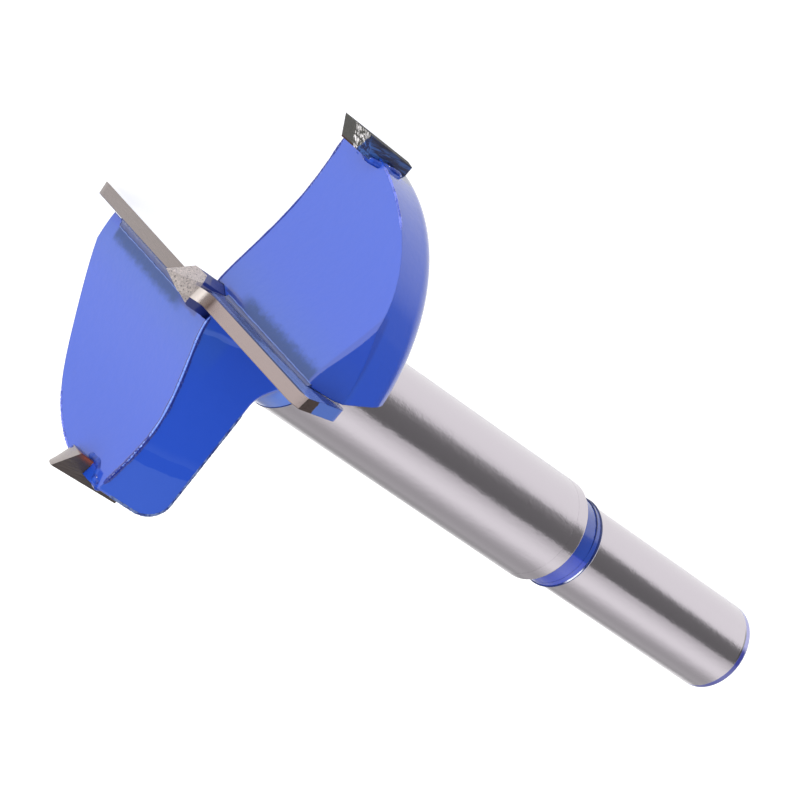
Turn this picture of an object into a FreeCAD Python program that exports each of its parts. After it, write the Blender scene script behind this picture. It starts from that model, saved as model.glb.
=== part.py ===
import FreeCAD, Part
import math
import os

# A wood boring bit for flat-bottomed holes: a steel body with two dished wings, a carbide
# cutter brazed across the head and a carbide spur let into the rim of each wing.
# Units are millimetres. The tool is drawn about its own axis, with its lips in the plane
# z = 0 and its shank below. One placement at the end lays it down as it comes to rest.

V = FreeCAD.Vector
ORIGIN = V(0, 0, 0)
X_AXIS = V(1, 0, 0)
Z_AXIS = V(0, 0, 1)

# Head
cutting_radius = 22.5
lip_setback = 0.1
spur_stand_out = 1.0
lip_radius = cutting_radius - lip_setback
rim_radius = cutting_radius - spur_stand_out
head_depth = 10.8
rim_back_round = 2.5

# Neck, painted band and shank
neck_radius = 5.88
neck_length = 45.4
neck_root_round = 1.6
shoulder_round = 0.8
band_length = 4.05
band_start_radius = 5.4
band_end_radius = 5.15
shank_radius = 5.0
shank_length = 27.85
shank_end_round = 0.45

# Dished face of a wing: depths below the lips at distances from the lip
foot_width = 2.0
foot_depth = 2.5
slope_distance = 5.4
slope_depth = 3.3
dish_distance = 13.0
dish_depth = 4.95
rim_side_overrun = 1.5
rim_side_depth = 4.0

# Gullets between the wings, with their walls placed at the level of the dish
trailing_wall_offset = 2.15
trailing_wall_turn = 2.5
trailing_wall_lean = 22.0
leading_wall_offset = 1.8
leading_wall_lean = 23.0
gullet_level = 4.8
gullet_corner_round = 1.6
gullet_overrun = 1.2

# Outer edges of the trailing walls
edge_round = 0.25

# Relief ground by hand on the corner of each wing behind the end of its lip
relief_setback_right = 2.6
relief_setback_left = 0.8
relief_shift = 7.0
relief_angle = 42.0
relief_turn = -8.0

# Carbide lips
lip_thickness = 1.4
lip_lead = 0.65
lip_lean = 11.0
lip_height = 5.3
lip_clearance_angle = 8.0
nose_run = 1.2
nose_drop = 0.45
toe_round = 0.8

# Carbide centre point: its four flats meet at the tip, and its ridges run to these corners
point_height = 4.5
point_side = 1.2
front_ridge_offset = 0.82
front_ridge_fall = 3.15
back_ridge_offset = 1.72
back_ridge_fall = 3.6
point_waist = 1.2
point_waist_side = 1.05
point_belly = 1.85
point_belly_side = 0.2
blend_radius = 2.2
blend_reach = 3.05
rake_start = 0.2

# Carbide spurs
spur_setback = 0.36
spur_width = 3.04
spur_thickness = 2.1
spur_rise = 0.1
spur_length = 10.0
spur_fall_inward = 0.7
spur_fall_along = 0.65
spur_heel_rise = 0.55
spur_back_taper = 1.2

# Gap left for braze round the carbide
braze_gap = 0.04

# Cutting bodies reach this far past what they cut
reach = 6.0

# How finely the places that touch the floor are found
floor_tolerance = 0.01


def slope(angle):
    return math.tan(math.radians(angle))


def turned(shape):
    """The copy of a shape half a turn round the tool's axis."""
    copy = shape.copy()
    copy.rotate(ORIGIN, Z_AXIS, 180)
    return copy


def line(start, end):
    return Part.LineSegment(start, end).toShape()


def corner_arc(centre, radius, start_angle):
    """A quarter circle in the XZ plane, from its start angle in degrees."""
    ends = [start_angle, start_angle + 45, start_angle + 90]
    points = []
    for angle in ends:
        turn = math.radians(angle)
        points.append(centre + V(radius * math.cos(turn), 0, radius * math.sin(turn)))
    return points


def outline(pieces):
    """A closed face from corners and three-point arcs, joined by straight lines in turn."""
    edges = []
    for index, piece in enumerate(pieces):
        following = pieces[(index + 1) % len(pieces)]
        if len(piece) == 3:
            edges.append(Part.Arc(piece[0], piece[1], piece[2]).toShape())
        if piece[-1].distanceToPoint(following[0]) > 1e-7:
            edges.append(line(piece[-1], following[0]))
    return Part.Face(Part.Wire(edges))


def turned_blank():
    """Head disc, neck, band and shank as they leave the lathe."""
    back = -head_depth
    shoulder = back - neck_length
    band_end = shoulder - band_length
    end = band_end - shank_length
    rim = corner_arc(V(rim_radius - rim_back_round, 0, back + rim_back_round), rim_back_round, 270)
    root = corner_arc(V(neck_radius + neck_root_round, 0, back - neck_root_round), neck_root_round, 90)
    drop = corner_arc(V(neck_radius - shoulder_round, 0, shoulder + shoulder_round), shoulder_round, 270)
    foot = corner_arc(V(shank_radius - shank_end_round, 0, end + shank_end_round), shank_end_round, 270)
    profile = outline([
        [V(0, 0, 0)],
        [V(rim_radius, 0, 0)],
        rim[::-1],
        root,
        drop[::-1],
        [V(min(band_start_radius, neck_radius - shoulder_round), 0, shoulder)],
        [V(band_end_radius, 0, band_end)],
        [V(shank_radius, 0, band_end)],
        foot[::-1],
        [V(0, 0, end)],
    ])
    return profile.revolve(ORIGIN, Z_AXIS, 360)


def gullet_cutter():
    """What the milling of one gullet takes away. Both walls lean, so it is drawn on a slant."""
    slant = V(slope(trailing_wall_lean), slope(leading_wall_lean), -1)
    corner = V(trailing_wall_offset, leading_wall_offset, -gullet_level)
    top = corner - slant * (gullet_level + reach)
    far = 3 * rim_radius
    plan = Part.Face(Part.makePolygon([
        top,
        top + V(far, 0, 0),
        top + V(far, -far, 0),
        top + V(slope(trailing_wall_turn) * far, -far, 0),
        top,
    ]))
    cutter = plan.extrude(slant * (reach + head_depth + gullet_overrun))
    corner_edges = [
        edge for edge in cutter.Edges
        if min(vertex.Point.distanceToPoint(top) for vertex in edge.Vertexes) < 1e-6
        and abs(edge.Vertexes[0].Z - edge.Vertexes[1].Z) > reach
    ]
    return cutter.makeFillet(gullet_corner_round, corner_edges)


def dish_cutter():
    """What shaping the face of one wing takes away. Its section is the same all along the lip."""
    foot = V(0, foot_width, -foot_depth)
    rim_side = V(0, rim_radius + rim_side_overrun, -rim_side_depth)
    dish = Part.BSplineCurve()
    dish.interpolate(
        [foot, V(0, slope_distance, -slope_depth), V(0, dish_distance, -dish_depth), rim_side],
        InitialTangent=V(0, 1, -0.12),
        FinalTangent=V(0, 1, 0.14),
    )
    wire = Part.Wire([
        line(V(0, 0, -foot_depth), foot),
        dish.toShape(),
        line(rim_side, V(0, rim_side.y, reach)),
        line(V(0, rim_side.y, reach), V(0, 0, reach)),
        line(V(0, 0, reach), V(0, 0, -foot_depth)),
    ])
    cutter = Part.Face(wire).extrude(V(4 * rim_radius, 0, 0))
    cutter.translate(V(-2 * rim_radius, 0, 0))
    return cutter


def relief_cutter(setback):
    """All that lies outside the cone ground on the corner of a wing, so that it clears the hole."""
    top = V(-relief_shift, 0, -foot_depth)
    down = V(0, 0, -1)
    start = rim_radius - setback + relief_shift
    end = start + slope(relief_angle) * head_depth
    cone = Part.makeCone(start, end, head_depth, top, down)
    cutter = Part.makeCylinder(end + reach, head_depth, top, down).cut(cone)
    cutter.rotate(ORIGIN, Z_AXIS, relief_turn)
    return cutter


def lip_section(front, back, bottom, top):
    """The leaning section of a lip, from its front to its back face."""
    lean = slope(lip_lean)
    return Part.Face(Part.makePolygon([
        V(0, front - bottom * lean, bottom),
        V(0, back - bottom * lean, bottom),
        V(0, back - top * lean, top),
        V(0, front - top * lean, top),
        V(0, front - bottom * lean, bottom),
    ]))


def lip(gap):
    """One carbide lip along +X, grown by a gap behind and below when it cuts its own seat."""
    front = -lip_lead
    section = lip_section(front, front + lip_thickness + gap, -lip_height - gap, blend_radius)
    blade = section.extrude(V(lip_radius + gap, 0, 0))
    if gap:
        return blade
    blend_angle = math.asin((blend_reach - point_side) / blend_radius)
    blend = [
        V(blend_reach - blend_radius * math.sin(angle), 0, blend_radius - blend_radius * math.cos(angle))
        for angle in (blend_angle, blend_angle / 2, 0)
    ]
    above = outline([
        [V(-reach, 0, blend_radius + reach)],
        [V(-reach, 0, blend[0].z)],
        blend,
        [V(lip_radius - nose_run, 0, 0)],
        [V(lip_radius, 0, -nose_drop)],
        [V(lip_radius + nose_run, 0, -2 * nose_drop)],
        [V(lip_radius + nose_run, 0, blend_radius + reach)],
    ]).extrude(V(0, 2 * reach, 0))
    above.translate(V(0, -reach - lip_lead, 0))
    above.rotate(V(0, -lip_lead, 0), X_AXIS, -lip_clearance_angle)
    blade = blade.cut(above)
    toe = [edge for edge in blade.Edges if edge.BoundBox.ZMax < -lip_height + 1e-6
           and edge.BoundBox.XMin > lip_radius - 1e-6]
    return blade.makeFillet(toe_round, toe)


def centre_point(gap):
    """The block under the point with its four ground flats."""
    half = [
        V(point_side + gap, front_ridge_offset + gap, 0),
        V(point_waist_side + gap, point_waist + gap, 0),
        V(-point_belly_side, point_belly + gap, 0),
        V(-point_side - gap, back_ridge_offset + gap, 0),
    ]
    other_half = [V(-corner.x, -corner.y, 0) for corner in half]
    loop = half + other_half
    base = Part.Face(Part.makePolygon(loop + loop[:1]))
    base.translate(V(0, 0, -lip_height - gap))
    block = base.extrude(V(0, 0, lip_height + point_height + gap))
    if gap:
        return block
    tip = V(0, 0, point_height)
    fall = 2 * (point_height + lip_height)
    front = V(point_side, front_ridge_offset, 0) * (fall / front_ridge_fall)
    back = V(-point_side, back_ridge_offset, 0) * (fall / back_ridge_fall)
    corners = [tip + corner - V(0, 0, fall) for corner in (front, back, -front, -back)]
    faces = [Part.Face(Part.makePolygon(corners + corners[:1]))]
    for index in range(4):
        ends = [corners[index], corners[(index + 1) % 4]]
        faces.append(Part.Face(Part.makePolygon([tip] + ends + [tip])))
    flats = Part.Solid(Part.Shell(faces))
    rake = lip_section(-lip_lead - reach, -lip_lead, -lip_height, point_height).extrude(V(reach, 0, 0))
    rake.translate(V(rake_start, 0, 0))
    return block.common(flats).cut(rake)


def cutter(gap=0.0):
    """Both lips and the point, which are one piece of carbide."""
    one_lip = lip(gap)
    return one_lip.fuse([turned(one_lip), centre_point(gap)]).removeSplitter()


def spur(gap=0.0):
    """The carbide bar in the rim at +Y, grown by a gap when it cuts its own seat."""
    front = spur_setback - gap
    back = spur_setback + spur_width + gap
    heel = spur_rise - spur_length - gap
    side = Part.Face(Part.makePolygon([
        V(front, cutting_radius, heel),
        V(front, cutting_radius, spur_rise),
        V(back, cutting_radius, spur_rise),
        V(back, cutting_radius, heel + spur_heel_rise * spur_width),
        V(front, cutting_radius, heel),
    ]))
    bar = side.extrude(V(0, -spur_thickness - gap, 0))
    if gap:
        return bar
    tip = V(spur_setback, cutting_radius, spur_rise)
    along = V(reach, 0, -spur_fall_along * reach)
    inward = V(0, -reach, -spur_fall_inward * reach)
    start = tip - along * 0.5 - inward * 0.5
    flat = Part.Face(Part.makePolygon([
        start,
        start + along * 2,
        start + along * 2 + inward * 2,
        start + inward * 2,
        start,
    ]))
    taper = Part.makeBox(4 * reach, reach, 4 * reach, tip - V(reach, 0, 3 * reach))
    taper.rotate(tip, X_AXIS, -spur_back_taper)
    return bar.cut([flat.extrude(V(0, 0, 2 * reach)), taper])


def outer_wall_edges(shape):
    """The edges of both trailing walls at the rim and at the back of the head."""
    fall = V(slope(trailing_wall_lean), slope(leading_wall_lean), -1)
    run = V(slope(trailing_wall_turn), -1, 0)
    square = fall.cross(run)
    wall = square.dot(V(trailing_wall_offset, leading_wall_offset, -gullet_level))
    chosen = []
    for edge in shape.Edges:
        middle = edge.valueAt((edge.FirstParameter + edge.LastParameter) / 2)
        mirrored = V(-middle.x, -middle.y, middle.z)
        for point in (middle, mirrored):
            outside = point.y < -neck_radius and -head_depth - floor_tolerance < point.z < -dish_depth
            if outside and abs(square.dot(point) - wall) < 1e-5:
                chosen.append(edge)
    return chosen


def body():
    """The steel body with its wings, gullets and seats."""
    shape = turned_blank()
    for one in (gullet_cutter(), dish_cutter()):
        shape = shape.cut(one).cut(turned(one))
    shape = shape.cut(relief_cutter(relief_setback_right))
    shape = shape.cut(turned(relief_cutter(relief_setback_left))).removeSplitter()
    shape = shape.makeFillet(edge_round, outer_wall_edges(shape))
    seat = spur(braze_gap)
    return shape.cut([cutter(braze_gap), seat, turned(seat)]).removeSplitter()


def corners(shape):
    """Points all over a shape, close enough together to find where it touches the floor."""
    return shape.tessellate(floor_tolerance)[0]


def resting_matrix(pieces):
    """Lays the tool down on three points: a lip's end, the corner of a wing and the shank's end."""
    steel = corners(pieces["body"])
    supports = [
        [point for point in corners(pieces["cutter"]) if point.x < -lip_radius / 2],
        [point for point in steel if point.z > -head_depth and point.y > rim_radius / 2],
        [point for point in steel if point.z < -head_depth - neck_length],
    ]
    down = V(-1, 1, 0)
    for _ in range(12):
        touching = [max(points, key=down.dot) for points in supports]
        down = (touching[1] - touching[0]).cross(touching[2] - touching[0]).normalize()
    up = -down
    forward = (Z_AXIS - up * up.z).normalize()
    sideways = up.cross(forward)
    turn = FreeCAD.Matrix(
        forward.x, forward.y, forward.z, 0,
        sideways.x, sideways.y, sideways.z, 0,
        up.x, up.y, up.z, 0,
        0, 0, 0, 1,
    )
    laid = [turn.multVec(point) for shape in pieces.values() for point in corners(shape)]
    middle = [
        (min(values) + max(values)) / 2
        for values in ([point.x for point in laid], [point.y for point in laid])
    ]
    floor = min(point.z for point in laid)
    turn.move(V(-middle[0], -middle[1], -floor))
    return turn


def main():
    right_spur = spur()
    pieces = {
        "body": body(),
        "cutter": cutter(),
        "spur_right": right_spur,
        "spur_left": turned(right_spur),
    }
    placement = resting_matrix(pieces)
    os.makedirs("parts", exist_ok=True)
    for name, shape in pieces.items():
        solid = shape.Solids[0]
        solid.transformShape(placement, True)
        solid.exportStep("parts/" + name + ".step")
        print(name, len(shape.Solids), solid.isValid(), round(solid.Volume, 1))
    print("placement", [round(value, 5) for value in placement.A])


main()
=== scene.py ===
# %% [markdown]
# # A wood boring bit
#
# A steel body carries two dished wings, a carbide cutter across its face and a carbide spur in
# each rim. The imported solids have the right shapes, apart from the left spur, so this lesson keeps
# them, gives them finishes that follow how each surface was made, and adds what the workshop
# leaves behind: runs of paint along the edges, fillets beside the lips and braze round the spurs.

import bpy
import math
import numpy as np
from mathutils import Matrix, Vector


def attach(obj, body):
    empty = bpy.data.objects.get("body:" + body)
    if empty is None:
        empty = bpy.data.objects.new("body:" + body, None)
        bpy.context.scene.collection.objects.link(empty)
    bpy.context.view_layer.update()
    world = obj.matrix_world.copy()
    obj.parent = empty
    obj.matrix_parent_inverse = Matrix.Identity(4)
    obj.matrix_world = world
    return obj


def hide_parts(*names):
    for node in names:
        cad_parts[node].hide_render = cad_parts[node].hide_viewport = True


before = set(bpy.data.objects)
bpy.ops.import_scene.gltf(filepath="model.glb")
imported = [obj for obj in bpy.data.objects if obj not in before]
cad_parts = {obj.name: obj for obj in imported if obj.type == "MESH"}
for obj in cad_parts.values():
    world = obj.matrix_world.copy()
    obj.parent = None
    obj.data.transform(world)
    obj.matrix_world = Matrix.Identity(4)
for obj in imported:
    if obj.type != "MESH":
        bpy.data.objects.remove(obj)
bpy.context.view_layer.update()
print("nodes", sorted(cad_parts))

# %% [markdown]
# The bit lies on the floor, leaning on one lip, one wing and the end of its shank. Its finishes
# follow the tool itself and not the floor, so they are drawn in the tool's own frame: millimetres,
# the lips in the plane z = 0, the lips along X and the shank running down -Z. One matrix takes
# that frame to where the bit lies.

# %% The tool's own frame
TOOL_TURN = Matrix((
    (-0.11571, 0.09169, 0.98904),
    (-0.62109, -0.78374, 0.0),
    (0.77516, -0.61428, 0.14763),
))
TOOL_PLACE = Vector((41.68025, 0.0, 17.89016))
MM = 0.001


def placed(points):
    """Points of the tool's frame, in mm, as points of the scene: turn * point + place."""
    turn = np.array(TOOL_TURN)
    return (points @ turn.T + np.array(TOOL_PLACE)) * MM


print("tip of the centre point", placed(np.zeros(3)).round(4))


# %% [markdown]
# The photograph was taken from in front of the head with a long lens, and the bit was lying the
# other way up, so the camera is rolled by almost half a turn. Its place and its three axes were
# fitted to the photograph in the tool's frame.

# %% Camera
CAMERA_PLACE = np.array([355.769, 52.400, 290.149])
CAMERA_RIGHT = Vector((0.46072453, 0.64204229, -0.61279286))
CAMERA_DOWN = Vector((0.49045756, -0.75961519, -0.42712544))
CAMERA_AHEAD = Vector((-0.73971906, -0.10376152, -0.66486785))
SENSOR = 36.0
FOCUS_PIXELS = 4764.9
FRAME_PIXELS = 800

lens = bpy.data.cameras.new("camera")
lens.sensor_width = SENSOR
lens.lens = FOCUS_PIXELS / FRAME_PIXELS * SENSOR
lens.clip_start = 0.01
camera = bpy.data.objects.new("camera", lens)
columns = [TOOL_TURN @ axis for axis in (CAMERA_RIGHT, -CAMERA_DOWN, -CAMERA_AHEAD)]
camera.matrix_world = Matrix.LocRotScale(
    Vector(placed(CAMERA_PLACE)),
    Matrix(columns).transposed().to_quaternion(),
    None,
)
bpy.context.scene.collection.objects.link(camera)
bpy.context.scene.camera = camera
bpy.context.scene.view_settings.view_transform = "Standard"
print("camera", [round(value, 4) for value in camera.location], "lens", round(lens.lens, 1))

# %% [markdown]
# A finish is easier to read as a sum than as a web of nodes. This small class wraps one socket, so
# that plain arithmetic on it adds the Math nodes.

# %% Shader maths


def plug(socket, value):
    """Links a shade to a socket, or sets the socket to a plain value."""
    if isinstance(value, Shade):
        socket.id_data.links.new(value.socket, socket)
    else:
        socket.default_value = value


class Shade:
    """One number or colour that varies over a surface."""

    def __init__(self, socket):
        self.socket = socket

    def math(self, operation, *values):
        """Adds a Math node on these values."""
        node = self.socket.id_data.nodes.new("ShaderNodeMath")
        node.operation = operation
        for place, value in enumerate(values):
            plug(node.inputs[place], value)
        return Shade(node.outputs[0])

    def __add__(self, other):
        return self.math("ADD", self, other)

    def __sub__(self, other):
        return self.math("SUBTRACT", self, other)

    def __rsub__(self, other):
        return self.math("SUBTRACT", other, self)

    def __mul__(self, other):
        return self.math("MULTIPLY", self, other)

    def __neg__(self):
        return self * -1.0

    def __abs__(self):
        return self.math("ABSOLUTE", self)

    def sign(self):
        return self.math("SIGN", self)

    def most(self, other):
        return self.math("MAXIMUM", self, other)

    def least(self, other):
        return self.math("MINIMUM", self, other)

    def angle(self, other):
        """The angle whose tangent is self / other, in radians."""
        return self.math("ARCTAN2", self, other)

    __radd__ = __add__
    __rmul__ = __mul__


print("sums by", Shade.__name__)

# %% [markdown]
# A finish has one method that adds any other node, and a few named for what they do to a surface.

# %% Nodes of a finish


class Finish:
    """The nodes of one material, or of the world."""

    def __init__(self, owner):
        self.owner = owner
        owner.use_nodes = True
        self.tree = owner.node_tree

    def node(self, kind, settings=None, sockets=None, output=0):
        """Adds one node: its settings first, then the values or links of its sockets."""
        made = self.tree.nodes.new("ShaderNode" + kind)
        for name, value in (settings or {}).items():
            if name == "stops":
                ramp = made.color_ramp
                for place, grey in value[:-2]:
                    ramp.elements.new(place)
                for element, (place, grey) in zip(ramp.elements, value):
                    element.position = place
                    element.color = (grey, grey, grey, 1.0)
            else:
                setattr(made, name, value)
        for name, value in (sockets or {}).items():
            plug(made.inputs[name], value)
        return Shade(made.outputs[output])

    def ease(self, value, start, end):
        """0 up to start, 1 from end, with a smooth rise between: 3t^2 - 2t^3."""
        sockets = {"Value": value, "From Min": start, "From Max": end}
        return self.node("MapRange", {"interpolation_type": "SMOOTHSTEP"}, sockets)

    def fade(self, value, start, end):
        """1 up to start and 0 from end: what ease leaves over."""
        return 1.0 - self.ease(value, start, end)

    def span(self, value, start, full, last, end):
        """1 from full to last, and 0 before start and after end."""
        return self.ease(value, start, full) * self.fade(value, last, end)

    def mix(self, share, first, second):
        """first where share is 0 and second where it is 1, as colours."""
        return self.node("Mix", {"data_type": "RGBA"}, {0: share, 6: first, 7: second}, 2)

    def layered(self, under, *layers):
        """A colour with others laid over it in turn, each given as its share and its colour."""
        for share, layer in layers:
            under = self.mix(share, under, layer)
        return under

    def noise(self, vector, scale, detail=2.0, roughness=0.5):
        """Smooth random values from about 0.3 to 0.7, with that many grains to a unit."""
        sockets = {"Vector": vector, "Scale": scale, "Detail": detail, "Roughness": roughness}
        return self.node("TexNoise", {}, sockets)

    def point(self, x, y, z):
        return self.node("CombineXYZ", {}, {"X": x, "Y": y, "Z": z})

    def parts(self, vector):
        return [self.node("SeparateXYZ", {}, {"Vector": vector}, axis) for axis in "XYZ"]

    def rays(self, *kinds):
        """For each kind of ray, 1 where one of that kind arrives and 0 elsewhere."""
        return [self.node("LightPath", {}, {}, f"Is {kind} Ray") for kind in kinds]

    def tool_point(self):
        """Where a surface point is in the tool's frame, in mm: as a vector and as x, y and z."""
        back = TOOL_TURN.transposed()
        where = self.node("TexCoord", {}, {}, "Object")
        vector = self.node("Mapping", {"vector_type": "POINT"}, {
            "Vector": where,
            "Location": back @ -TOOL_PLACE,
            "Rotation": back.to_euler(),
            "Scale": (1 / MM, 1 / MM, 1 / MM),
        })
        return vector, *self.parts(vector)

    def facing(self, x, y, z):
        """How much a surface faces a direction of the tool's frame: 1 straight, 0 across it."""
        towards = (TOOL_TURN @ Vector((x, y, z))).normalized()
        normal = self.node("NewGeometry", {}, {}, "Normal")
        sockets = {0: normal, 1: towards}
        return self.node("VectorMath", {"operation": "DOT_PRODUCT"}, sockets, "Value")

    def bump(self, height, strength, distance, corner=0.0):
        """Hills of a height over the surface, whose corners may also be eased to a radius."""
        sockets = {"Height": height, "Strength": strength, "Distance": distance}
        if corner:
            sockets["Normal"] = self.node("Bevel", {"samples": 4}, {"Radius": corner})
        return self.node("Bump", {}, sockets)

    def shade(self, **sockets):
        """Sets the sockets of the main shader, with spaces in their names as underscores."""
        shader = self.tree.nodes["Principled BSDF"]
        for name, value in sockets.items():
            plug(shader.inputs[name.replace("_", " ")], value)
        self.report("finished")

    def lacquer(self, blue, grain, rough, coat, coat_rough, hills, depth, **sockets):
        """A film of lacquer, whose grain shows in its gloss and as low hills."""
        normal = self.bump(grain, hills, depth)
        rough = rough + 0.1 * grain
        coats = {"Coat_Weight": coat, "Coat_Roughness": coat_rough, **sockets}
        self.shade(Base_Color=blue, Roughness=rough, Normal=normal, **coats)

    def report(self, step):
        """Prints how many nodes there are after a step."""
        print(self.owner.name, step, len(self.tree.nodes), "nodes")


print("nodes by", Finish.__name__)

# %% [markdown]
# Colours are read off a screen, whose numbers rise more slowly than light does. The shader wants
# the light itself.

# %% Colours as light


def colour(red, green, blue):
    """A colour given as it looks on a screen, from 0 to 255, as linear light."""
    values = [value / 255 for value in (red, green, blue)]
    linear = [v / 12.92 if v <= 0.04045 else ((v + 0.055) / 1.055) ** 2.4 for v in values]
    return (*linear, 1.0)


print("mid grey gives", round(colour(128, 128, 128)[0], 3), "of the light of white")

# %% [markdown]
# The body is turned and milled steel. The head, a collar of the neck, the groove band and the end
# of the shank are under a glossy blue lacquer, and the rest is ground bright. One material holds
# both, because the lacquer ends in the middle of a surface, along an edge as wavy as the masking.

# %% Where things are on the tool
COLLAR_END = -14.7
NECK_END = -56.75
BAND_END = -60.25
SHANK_END = -88.1
NECK_RADIUS = 5.88
SHANK_RADIUS = 5.0
NECK_EDGE = 0.2
NECK_LIP = 1.7
FOOT_DEPTH = 2.5
LIP_BACK = 0.75
LIP_LEAN = math.tan(math.radians(11))
print("bare neck", round(COLLAR_END - NECK_END, 2), "shank", round(BAND_END - SHANK_END, 2))

# %% [markdown]
# Each masked edge is a step along the axis, softened over a few hundredths of a millimetre and
# shifted by a slow random wave. The end of the shank has an edge of its own, where it was dipped.

# %% Where the lacquer lies
COLLAR_SOFT = 0.06
BAND_SOFT = 0.03
DIPPED_LENGTH = 0.95

body = Finish(bpy.data.materials.new("lacquer_and_ground_steel"))
spot, x, y, z = body.tool_point()
wave = body.noise(spot, 0.35, 3.0) - 0.5

collar = body.ease(z + 0.9 * wave, COLLAR_END - COLLAR_SOFT, COLLAR_END + COLLAR_SOFT)
past_neck = body.fade(z, NECK_END + 0.02, NECK_END + 0.08)
before_shank = body.ease(z + 0.15 * wave, BAND_END - BAND_SOFT, BAND_END + BAND_SOFT)
band = past_neck * before_shank
tip_edge = z - SHANK_END + 0.25 * wave
tip = body.fade(tip_edge, DIPPED_LENGTH - 0.03, DIPPED_LENGTH + 0.03)
lacquer = collar.most(band.most(tip))
body.report("where the lacquer lies")

# %% [markdown]
# Behind each lip a darker, duller strip lies beside the fillet: a painted reflection of the lip's
# dark back in the glossy face, with a ragged edge. Near the point it is darkest, as painted shade
# in the corner. A faint painted fringe fades it into the face, and the relief facet of the right
# wing is painted darker as shade. The two wings are half a turn apart, so their measures are taken
# out along the lip and away from it, with the sign of y.

# %% Painted shade and reflection behind the lips
FACET_START = 18.4
STRIP_START = 1.62
STRIP_LATER = 0.3

side = y.sign()
wing_x = x * side
wing_y = y * side
shade_edge_noise = body.noise(body.point(x * 0.9, y * 0.9, 0.0), 1.4, 4.0, 0.75) - 0.5
reach = wing_y - (STRIP_START - STRIP_LATER * side.least(0.0))
on_face = body.ease(z, -6.0, -5.0)

# Painted reflection: the dark strip of the lip's back mirrored in the face.
shade = body.ease(reach, -0.02, 0.05) * body.fade(reach + 1.7 * shade_edge_noise, 0.7, 1.9)
shade = shade * body.span(wing_x, 2.6, 5.0, FACET_START, FACET_START + 0.5)
shade = shade * on_face
# Painted shade in the corner, darkest near the point.
corner_shade = body.ease(reach, 0.0, 0.06) * body.fade(reach + 0.5 * shade_edge_noise, 0.35, 0.75)
corner_shade = corner_shade * body.fade(wing_x + 2.0 * shade_edge_noise, 3.2, 5.2)
corner_shade = corner_shade * body.ease(wing_x, 0.3, 0.9) * body.ease(z, -3.4, -3.0)
# Painted shade: a faint fringe that fades the strip into the face.
shade_fringe = body.span(reach, 0.0, 0.3, 1.0, 6.0) * on_face
# Painted shade on the relief facet of the right wing.
facet_shade = body.ease(wing_x, FACET_START, FACET_START + 0.4)
facet_shade = facet_shade * body.ease(z, -5.5, -5.0) * body.ease(side, -0.5, 0.5)
body.report("painted shade behind the lips")

# %% [markdown]
# The lacquer also keeps the marks of how the tool was hung up to dry. It is streaked under each
# spur, and the wall of the left wing has paler stripes where it ran towards the rim.

# %% Marks on the walls and the rim
WALL_DIRECTION = (0.92, 0.04, 0.39)
RIM_START = 20.7

streaks = body.noise(body.point(x * 5.0, y * 5.0, z * 0.7), 1.2, 3.0, 0.6)
by_spur = body.fade(wing_x + 0.16 * z + 1.2 * (streaks - 0.5), 3.2, 3.9)
by_spur = by_spur * body.ease(wing_x, 0.0, 0.3)
by_spur = by_spur * body.ease(wing_y, RIM_START, RIM_START + 0.1)
by_spur = by_spur * body.span(z, -9.5, -8.0, -4.62, -4.5)
on_wall = body.ease(body.facing(*WALL_DIRECTION), 0.9, 0.95)
outwards = -y - 0.25 * z + 0.8 * wave
ran_down = body.ease(outwards, 18.08, 18.24)
ran_down = ran_down + 0.45 * body.span(outwards, 15.6, 16.75, 16.75, 16.85)
wedge = body.span(outwards, 2.9, 3.2, 3.55, 3.7)
body.report("marks on the walls and the rim")

# %% [markdown]
# The dipped end of the shank is violet, because the lacquer is thin there, with a pale glare painted
# on its upper side as a highlight. A faint dark line runs on the bare steel just before the edge, on
# the same side.

# %% Marks at the end of the shank
on_upper_side = body.ease(x, 0.0, 1.0)
tip_line = body.fade(tip_edge, 1.12, 1.22) * body.span(y, 0.3, 1.6, 3.4, 4.2)
tip_line = tip_line * on_upper_side
# Painted highlight: the pale glare on the upper side of the dipped end.
glare = body.ease(y + 0.8 * wave, 1.9, 2.7) * on_upper_side
glare = glare * body.ease(tip_edge, -0.1, 0.0)
body.report("marks at the end of the shank")

# %% [markdown]
# The colours are laid over each other like glazes, each by a share that says where it lies and how
# strong it is.

# %% Colours of the body
LACQUER_BLUE = colour(22, 72, 188)
NECK_BLUE = colour(76, 128, 226)
RUN_DOWN_BLUE = colour(84, 116, 200)
WEDGE_BLUE = colour(96, 126, 216)
# Painted shade and reflection behind the lips: fringe, strip and corner.
SHADE_FRINGE_BLUE = colour(44, 88, 160)
PAINTED_REFLECTION_BLUE = colour(28, 62, 122)
CORNER_SHADE_BLUE = colour(18, 44, 128)
NAVY = colour(20, 32, 84)
STREAK_BLUE = colour(50, 80, 150)
BAND_DEEP = colour(8, 54, 184)
# Painted shade: the groove band is duller and greyer on its side where y is above 0.5.
BAND_SHADE_BLUE = colour(12, 60, 162)
TIP_VIOLET = colour(42, 30, 136)
# Painted highlight at the dipped end.
TIP_GLARE = colour(186, 182, 236)
# Painted shade of the right wing's relief facet.
FACET_SHADE_BLUE = colour(16, 52, 150)
STEEL_GREY = colour(212, 205, 212)
TIP_LINE_GREY = colour(92, 96, 90)

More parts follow.
